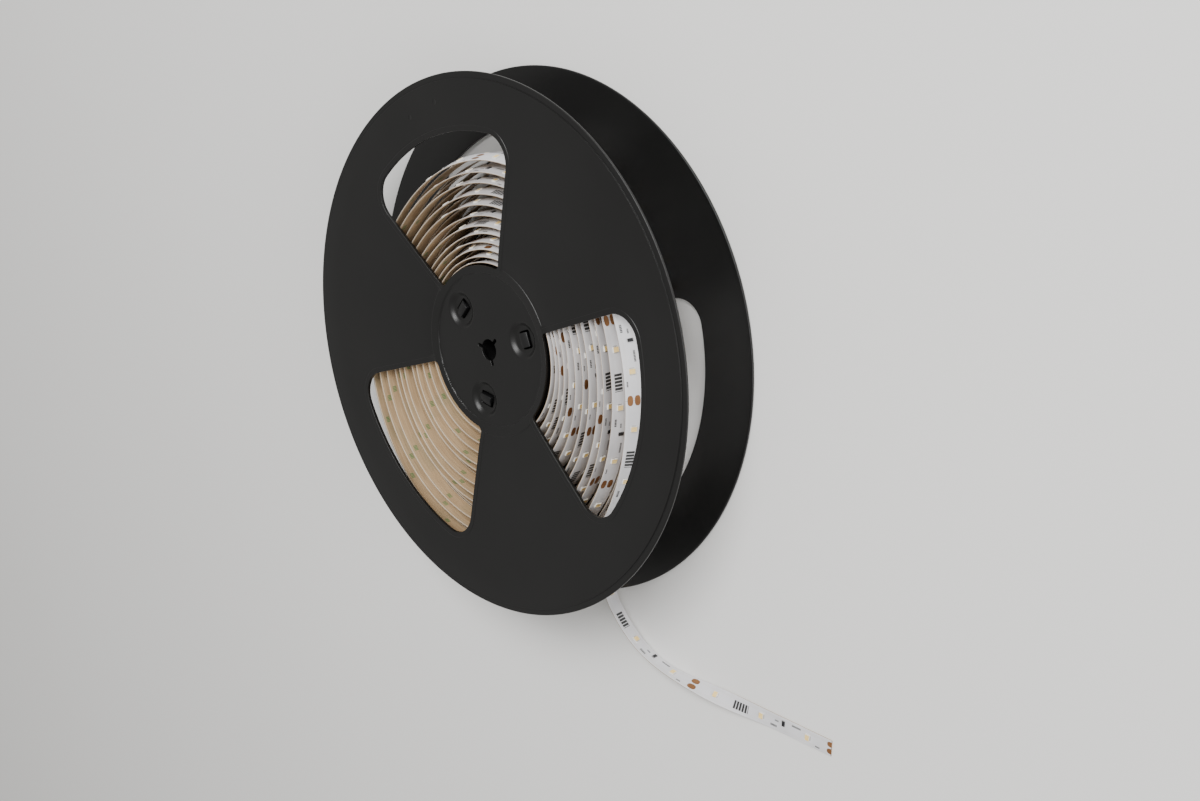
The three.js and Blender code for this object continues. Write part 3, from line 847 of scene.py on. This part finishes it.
def web_depth(radius):
    """How far the web bows in at a radius, with a soft bend where the flat ring ends."""
    in_from_ring = FLAT_RING_RADIUS - radius
    bend = np.clip((in_from_ring + WEB_BEND) / (2 * WEB_BEND), 0, 1)
    reach = np.maximum(bend**2 * WEB_BEND, in_from_ring)
    return WEB_BOW * np.clip(reach / (FLAT_RING_RADIUS - PLATE_RADIUS - RAMP_WIDTH), 0, 1)


def outer_face(radius):
    """Height of the outer face: the flat ring, the web, the raised ring with its two steps, the plate."""
    radii, depths = zip(*HUB_RING)
    shifts = np.linspace(-HUB_RING_ROUND, HUB_RING_ROUND, 5)
    ring = np.mean([np.interp(radius + shift, radii, depths) for shift in shifts], axis=0)
    return -web_depth(radius) - (ring - WEB_BOW)


def inner_face(radius):
    """Height of the inner face, where one soft ramp goes down to the plate."""
    climb = np.clip((radius - PLATE_RADIUS) / RAMP_WIDTH, 0, 1)
    ramp = (HUB_RECESS - WEB_BOW) * (1 - np.sin(climb * math.pi / 2) ** RAMP_EASE)
    return -web_depth(radius) - ramp - FLANGE_WALL


def flange_faces():
    """Outline loops, loose points and holes of a flange, and the heights of both of its faces."""
    windows = [WINDOW_PHASE + i * TURN_STEP for i in range(WINDOW_COUNT)]
    rim = [FLANGE_RADIUS - drop * MM for drop in RIM_LOOPS]
    rim += [FLANGE_RADIUS - RIM_BAND + shift * MM for shift in STEP_LOOPS]
    loops = [circle(radius, RIM_POINTS) for radius in rim]
    loops += [window_outline(phase, grow * MM) for phase in windows for grow in LIP_LOOPS]
    loops += [arbor_outline(grow * MM) for grow in ARBOR_LOOPS]
    loops += [slot_outline(i, grow * MM) for i in range(WINDOW_COUNT) for grow in SLOT_LOOPS]
    dish = np.linspace(DISH_FLOOR_RADIUS, DISH_RADIUS + DISH_LIP, 12)
    loops += [
        circle(radius, 56, socket_centre(i))
        for i in range(WINDOW_COUNT) for radius in (DISH_FLOOR_RADIUS - 0.5 * MM, *dish, DISH_RADIUS + 0.8 * MM)
    ]
    loops += [
        circle(size * share, 20, polar(radius, angle))
        for radius, angle, size in PIN_MARKS for share in (0.8, 0.92, 1.0, 1.15)
    ]
    loops += [circle(PLATE_RADIUS - back * MM, 192) for back in (0.5, 0)]
    edges, start = [], 0
    for loop in loops:
        edges += [(start + i, start + (i + 1) % len(loop)) for i in range(len(loop))]
        start += len(loop)
    bend = FLAT_RING_RADIUS + WEB_BEND * np.linspace(-1, 1, 5)
    loose = np.vstack(
        [circle(radius * MM, 216) for radius in RING_LOOPS]
        + [circle(radius, 144) for radius in (*np.arange(60, 145, 7) * MM, *bend)]
    )
    keep = np.ones(len(loose), bool)
    for phase in windows:
        keep &= ~inside(window_outline(phase, LIP_CLEAR * MM), loose)
    holes = [window_outline(phase, 0) for phase in windows]
    holes += [arbor_outline(0)] + [slot_outline(i, 0) for i in range(WINDOW_COUNT)]
    return np.vstack([*loops, loose[keep]]), edges, holes


def flange_heights(points):
    """Heights of the outer and the inner face, with the outer face's plane at zero."""
    radius = np.linalg.norm(points, axis=1)
    front = outer_face(radius)
    back = inner_face(radius)
    lip = drop = 0
    for i in range(WINDOW_COUNT):
        near = distance_to(window_outline(WINDOW_PHASE + i * TURN_STEP, 0), points)
        lip = np.maximum(lip, LIP_HEIGHT * (1 - smooth(LIP_WIDTH - LIP_SLOPE, LIP_WIDTH, near)))
        drop = np.maximum(drop, rounding(near, EDGE_ROUND))
        drop = np.maximum(drop, rounding(distance_to(slot_outline(i, 0), points), EDGE_ROUND))
    drop = np.maximum(drop, rounding(distance_to(arbor_outline(0), points), EDGE_ROUND))
    # Towards the hub the lip runs out into the raised ring
    front = front + lip * smooth(50 * MM, 57 * MM, radius)
    beyond = radius - (FLANGE_RADIUS - RIM_BAND)
    step = smooth(0, 0.12 * MM, beyond)
    front -= RIM_STEP * step + RIM_GROOVE * (step - smooth(0.36 * MM, 0.85 * MM, beyond))
    front -= rounding(FLANGE_RADIUS - radius, RIM_ROUND)
    back += rounding(FLANGE_RADIUS - radius, RIM_ROUND)
    for i in range(WINDOW_COUNT):
        away = np.linalg.norm(points - socket_centre(i), axis=1)
        front -= DISH_DEPTH * (1 - smooth(DISH_FLOOR_RADIUS, DISH_RADIUS + DISH_LIP, away))
        back -= DISH_DEPTH * (1 - smooth(DISH_FLOOR_RADIUS + 1.0 * MM, DISH_RADIUS + 1.2 * MM, away))
    for mark_radius, angle, size in PIN_MARKS:
        away = np.linalg.norm(points - polar(mark_radius, angle), axis=1)
        front -= PIN_DEPTH * (1 - smooth(size * 0.8, size, away))
    return front - drop, back + drop


def flange_mesh():
    """The moulding in its own frame, the outer face up: both faces share one triangulation, and walls join them."""
    points, edges, holes = flange_faces()
    made, _, triangles, *_ = delaunay_2d_cdt([Vector(p / MM) for p in points], edges, [], 0, 1e-6)
    points = np.array([tuple(p) for p in made]) * MM
    triangles = np.array([t for t in triangles], int)
    middle = points[triangles].mean(axis=1)
    keep = np.linalg.norm(middle, axis=1) < FLANGE_RADIUS
    for hole in holes:
        keep &= ~inside(hole, middle)
    triangles = triangles[keep]
    corners = points[triangles]
    side, other = corners[:, 1] - corners[:, 0], corners[:, 2] - corners[:, 0]
    turned = side[:, 0] * other[:, 1] - side[:, 1] * other[:, 0] < 0
    triangles[turned] = triangles[turned][:, ::-1]
    front, back = flange_heights(points)
    count = len(points)
    vertices = np.vstack([np.column_stack([points, front]), np.column_stack([points, back])])
    pairs = np.vstack([triangles[:, [0, 1]], triangles[:, [1, 2]], triangles[:, [2, 0]]])
    known = {tuple(pair) for pair in pairs.tolist()}
    walls = [(b, a, a + count, b + count) for a, b in known if (b, a) not in known]
    faces = triangles.tolist() + (triangles[:, ::-1] + count).tolist() + walls

    def clean(work):
        bmesh.ops.delete(work, geom=[vertex for vertex in work.verts if not vertex.link_faces], context="VERTS")
        bmesh.ops.remove_doubles(work, verts=work.verts, dist=1e-7)

    return reshaped(new_mesh("flange", vertices.tolist(), faces=faces), clean)


# Where a flange's own frame lies: the rear one is turned over about the line through the first window
SIDES = (
    ("front", Matrix.Translation((0, 0, REEL_WIDTH))),
    ("rear", Matrix.Rotation(math.pi, 4, Vector((*polar(1.0, WINDOW_PHASE), 0)))),
)


def make_flanges(finish):
    mesh = flange_mesh()
    for side, place in SIDES:
        own = mesh.copy()
        own.transform(place)
        piece = outward(new_object(side + "_plate", own), 50.0)
        finish_piece(piece, finish, "reel_plastic", side + "_flange")


# Hub drum

DRUM_RADIUS = 50 * MM
DRUM_WALL = 2.2 * MM
TUBE_RADIUS = 11 * MM
TUBE_WALL = 2 * MM
RIB_THICKNESS = 1.8 * MM
DISH_BACK = -HUB_RECESS - DISH_DEPTH - FLANGE_WALL
HOOK_ROOT = 6 * MM


def solid_of(name, vertices, faces, bevel=0.0):
    """A closed mesh, with its edges above 30 degrees rounded when a bevel is given."""

    def close(work):
        bmesh.ops.recalc_face_normals(work, faces=work.faces)
        if bevel:
            edges = [edge for edge in work.edges if edge.calc_face_angle(0) > math.radians(30)]
            bmesh.ops.bevel(
                work, geom=edges, offset=bevel, segments=3, profile=0.5, affect="EDGES", clamp_overlap=True
            )

    mesh = new_mesh(name, [tuple(vertex) for vertex in vertices], faces=faces)
    return new_object(name, reshaped(mesh, close))


def turned(name, profile, segments):
    """Revolves a closed loop of (radius, height) points about the axis."""
    rings = [np.column_stack([circle(radius, segments), np.full(segments, height)]) for radius, height in profile]
    faces = []
    for k in range(len(profile)):
        low, high = k * segments, (k + 1) % len(profile) * segments
        faces += [(low + i, low + (i + 1) % segments, high + (i + 1) % segments, high + i) for i in range(segments)]
    return solid_of(name, np.vstack(rings), faces)


def extruded(name, outline, half, angle, bevel=0.0):
    """A loop of (radius, height) points made as thick as twice half, at an angle about the axis."""
    count = len(outline)
    out, along = polar(1.0, angle), polar(1.0, angle + 90)
    vertices = [
        (*(out * radius + along * side * half), height) for side in (-1, 1) for radius, height in outline
    ]
    faces = [tuple(range(count)), tuple(range(2 * count - 1, count - 1, -1))]
    faces += [(i, (i + 1) % count, count + (i + 1) % count, count + i) for i in range(count)]
    return solid_of(name, vertices, faces, bevel)


def wall_ring(inner, outer, inner_end, outer_end, corner=0.4 * MM):
    """The loop of a tube's wall with rounded ends. The ends are distances from the middle plane."""
    quarter = np.array([0, 0.25, 0.5]) * math.pi
    inset, drop = corner * (1 - np.cos(quarter)), corner * (1 - np.sin(quarter))
    upper = list(zip(inner + inset, REEL_WIDTH / 2 + (inner_end - drop)))
    upper += reversed(list(zip(outer - inset, REEL_WIDTH / 2 + (outer_end - drop))))
    return upper + [(radius, REEL_WIDTH - height) for radius, height in reversed(upper)]


def hook_outline():
    """A snap hook seen from its side, in a flange's own frame: shank, overhanging head and sloping top."""
    under = -HUB_RECESS - DISH_DEPTH + SEAT_GAP
    return [
        (HOOK_INSIDE, DISH_BACK - HOOK_ROOT),
        (HOOK_SHANK, DISH_BACK - HOOK_ROOT),
        (HOOK_SHANK, under),
        (HOOK_OUTSIDE, under),
        (HOOK_OUTSIDE, under + 0.7 * MM),
        (HOOK_OUTSIDE - 3.4 * MM, under + 1.95 * MM),
        (HOOK_INSIDE, under + 1.8 * MM),
    ]


def united(name, parts):
    """One closed mesh from closed ones that overlap."""
    first, *others = parts
    for part in others:
        step = first.modifiers.new("unite", "BOOLEAN")
        step.operation = "UNION"
        step.solver = "EXACT"
        step.object = part
    return baked(name, first, *others)


def make_hub(finish):
    """The drum, its arbor tube, six ribs and three hooks at each end, as one moulding."""
    middle = REEL_WIDTH / 2
    drum_inner = DRUM_RADIUS - DRUM_WALL
    ends = [middle + float(inner_face(radius)) - SEAT_GAP for radius in (drum_inner, DRUM_RADIUS)]
    tube_end = middle - HUB_RECESS - FLANGE_WALL - SEAT_GAP
    parts = [
        turned("drum", wall_ring(drum_inner, DRUM_RADIUS, *ends), 192),
        turned("tube", wall_ring(TUBE_RADIUS, TUBE_RADIUS + TUBE_WALL, tube_end, tube_end), 96),
    ]
    rib_reach = middle + DISH_BACK - SEAT_GAP
    rib = [
        (TUBE_RADIUS + TUBE_WALL / 2, -rib_reach),
        (DRUM_RADIUS - DRUM_WALL / 2, -rib_reach),
        (DRUM_RADIUS - DRUM_WALL / 2, rib_reach),
        (TUBE_RADIUS + TUBE_WALL / 2, rib_reach),
    ]
    for i in range(WINDOW_COUNT):
        angle = SOCKET_PHASE + i * TURN_STEP
        for side, place in SIDES:
            web = extruded(f"rib_{side}_{i}", rib, RIB_THICKNESS / 2, angle)
            web.data.transform(place @ Matrix.Translation((0, 0, -middle)))
            hook = extruded(f"hook_{side}_{i}", hook_outline(), HOOK_WIDTH / 2, angle, EDGE_ROUND)
            hook.data.transform(place)
            parts += [web, hook]
    piece = outward(united("hub_drum", parts), 32.0)
    finish_piece(piece, finish, "hub_plastic", "hub_core")


# Wound tape

LANE_COUNT = 4
ROLL_REAR = FLANGE_WALL + WEB_BOW + 0.5 * MM
LANE_PITCH = (REEL_WIDTH - 2 * ROLL_REAR - TAPE_WIDTH) / (LANE_COUNT - 1)
FIRST_TURN = 50.9 * MM
ROLL_GROWTH = 75.1 * MM
# Waves of the outermost turn's outline about a round one: size, angle of a crest, crests in a turn
ROLL_WAVES = ((15.8 * MM, -112.0, 1), (6.4 * MM, 73.0, 2), (1.2 * MM, -38.0, 3))
SLACK_FREE_TURNS = 2
ROLL_END_ANGLE = -38.0
END_STEP = 8.0
STEPS_PER_TURN = 120
SPLAY_ANGLE = 14.0
SPLAY_LEAN = 28.0
TOP_LEAN_ANGLE = 110.0
TOP_LEAN = 14.0
# Gaps between neighbouring turns from the hub outwards, in the middle of each window
TURN_GAPS = (
    (0.0, (2.1, 4.2, 3.0, 3.6, 4.8, 4.2, 6.5, 4.7, 7.6, 2.8, 7.5, 10.3)),
    (100.0, (3.2, 5.1, 4.3, 3.8, 6.0, 4.5, 6.1, 7.3, 5.8, 5.9, 7.0, 6.2)),
    (225.0, (4.0, 6.7, 5.5, 6.7, 3.1, 8.3, 5.5, 3.1, 8.9, 6.6, 7.4, 8.8)),
)


def turn_share(turn, angle, uneven):
    """How far out a turn lies, from 0 at the hub to 1 at the outermost, between the windows' own gaps."""
    shares = []
    for _, gaps in TURN_GAPS:
        reach = np.concatenate([[0], np.cumsum(np.array(gaps) * uneven)])
        shares.append(np.interp(turn, np.arange(len(reach)), reach / reach[-1]))
    places = np.array([place for place, _ in TURN_GAPS] + [TURN_GAPS[0][0] + 360])
    around = (angle - places[0]) % 360 + places[0]
    passed = sum(smooth(low, high, around) for low, high in zip(places[:-1], places[1:]))
    weights = [np.interp(passed, np.arange(len(places)), row) for row in np.eye(len(places))]
    weights[0] = weights[0] + weights.pop()
    return sum(weight * share for weight, share in zip(weights, shares))


def wound_lane(lane, uneven, end_angle, seed):
    """Centre points and lit directions of one lane, from the hub to its cut end."""
    turns = len(uneven)
    steps = turns * STEPS_PER_TURN
    draw = np.random.default_rng(seed)
    turn = np.arange(steps + 1) / STEPS_PER_TURN
    angle = end_angle + 360 * (turns - turn)
    share = turn_share(turn, angle, uneven)
    slack = sum(size * np.cos(np.radians(count * (angle - crest))) for size, crest, count in ROLL_WAVES)
    loose = np.minimum(1, turn / SLACK_FREE_TURNS)
    radius = FIRST_TURN + share * (ROLL_GROWTH + slack * loose)

    def ripple(sizes, rates):
        """A sum of waves along the lane, at so many waves a turn and with drawn phases."""
        phases = draw.uniform(0, 6.28, len(sizes))
        return sum(
            size * np.sin(turn * rate * 2 * math.pi + phase) for size, rate, phase in zip(sizes, rates, phases)
        )

    wave = ripple((1.0, 0.6, 0.35), draw.uniform(0.35, 1.3, 3))
    lean = 4.0 * np.sin(turn * draw.uniform(1.5, 2.2) + draw.uniform(0, 6.28))
    # Under the top window the turns lean back, and everywhere each lies a little unlike the next
    lean += TOP_LEAN * loose * np.cos(np.radians(angle - TOP_LEAN_ANGLE)).clip(0) ** 2
    lean += loose * ripple((2.2, 1.5), draw.uniform(1.3, 2.7, 2))
    radius += loose * 0.3 * MM * ripple((1, 1), draw.uniform(2.2, 4.3, 2))
    if lane == LANE_COUNT - 1:
        # The rear edge of the outermost turn splays outwards in the right-hand window, where nothing holds it
        splay = smooth(turns - 1.35, turns - 0.95, turn) * np.cos(np.radians(angle - SPLAY_ANGLE)).clip(0) ** 2
        lean += SPLAY_LEAN * splay
        radius += 0.5 * TAPE_WIDTH * np.sin(np.radians(SPLAY_LEAN * splay))
    low = ROLL_REAR + lane * LANE_PITCH
    height = low + TAPE_WIDTH / 2 + 0.5 * MM * wave * (1 if lane else 0.35)
    height = np.clip(height, ROLL_REAR + TAPE_WIDTH / 2, REEL_WIDTH - ROLL_REAR - TAPE_WIDTH / 2)
    points = np.column_stack([polar(radius, angle), height])
    flat = np.column_stack([polar(1.0, angle), 0 * angle])
    tilt = np.radians(lean)[:, None]
    return points, flat * np.cos(tilt) + np.array([0, 0, 1.0]) * np.sin(tilt)


def wound_ribbon(tail_length):
    """Four lanes of tape side by side, each wound by itself."""
    draw = np.random.default_rng(11)
    roll = Ribbon()
    for lane in range(LANE_COUNT):
        # Behind the front lane, whose gaps are those of the windows, each lane has its own unevenness
        uneven = np.ones(len(TURN_GAPS[0][1]))
        if lane < LANE_COUNT - 1:
            uneven = draw.uniform(0.72, 1.28, len(uneven))
        points, lit = wound_lane(lane, uneven, ROLL_END_ANGLE - END_STEP * lane, 30 + lane)
        gone = distance_along(points)
        roll.add(points, lit, gone[-1] - gone + tail_length)
    return roll


make_camera()
make_studio()

tape_on_route = tape_tree()
components_on_tape = component_tree()
tape_finish = tape_material("strip_white")
led_finish = component_material(
    "led_phosphor", 1500.0, 0.03 * MM, 0.28, HOUSING, PHOSPHOR, (0.62, 0.61, 0.59, 1)
)
resistor_finish = component_material(
    "resistor_black", 1200.0, 0.02 * MM, 0.25, BLACK, (BLACK, BLACK), (0.42, 0.41, 0.40, 1)
)
led, resistor = led_component(), resistor_component()
# Kind, component, material, slot, size, distance of the first from the cut end, pitch and place across
kinds = (
    ("led", led, led_finish, "led_phosphor", LED_SIZE, LED_PITCH / 2, LED_PITCH, 0.0),
    (
        "resistor", resistor, resistor_finish, "resistor_black",
        RESISTOR_SIZE, RESISTOR_FROM_END, SEGMENT, RESISTOR_ACROSS,
    ),
)

tail, tail_length = tail_ribbon()
tail_strip = tail.body("tail_strip", tape_on_route, tape_finish)
finish_piece(tail_strip, None, "strip_white", "loose_strip")
tail_leds, tail_resistors = set_components(tail, "tail", components_on_tape, kinds, (8, 3))
roll = wound_ribbon(tail_length)
finish_piece(roll.body("wound_tape", tape_on_route, tape_finish), None, "strip_white", "wound_strip")
set_components(roll, "wound", components_on_tape, kinds)
make_flanges(moulded_plastic("reel_plastic", (0.0052, 0.0051, 0.0050, 1), 0.36, 2600.0, 0.03 * MM))
make_hub(moulded_plastic("hub_plastic", (0.0046, 0.0046, 0.0048, 1), 0.40, 2100.0, 0.06 * MM))
for component in (led, resistor):
    bpy.data.objects.remove(component)
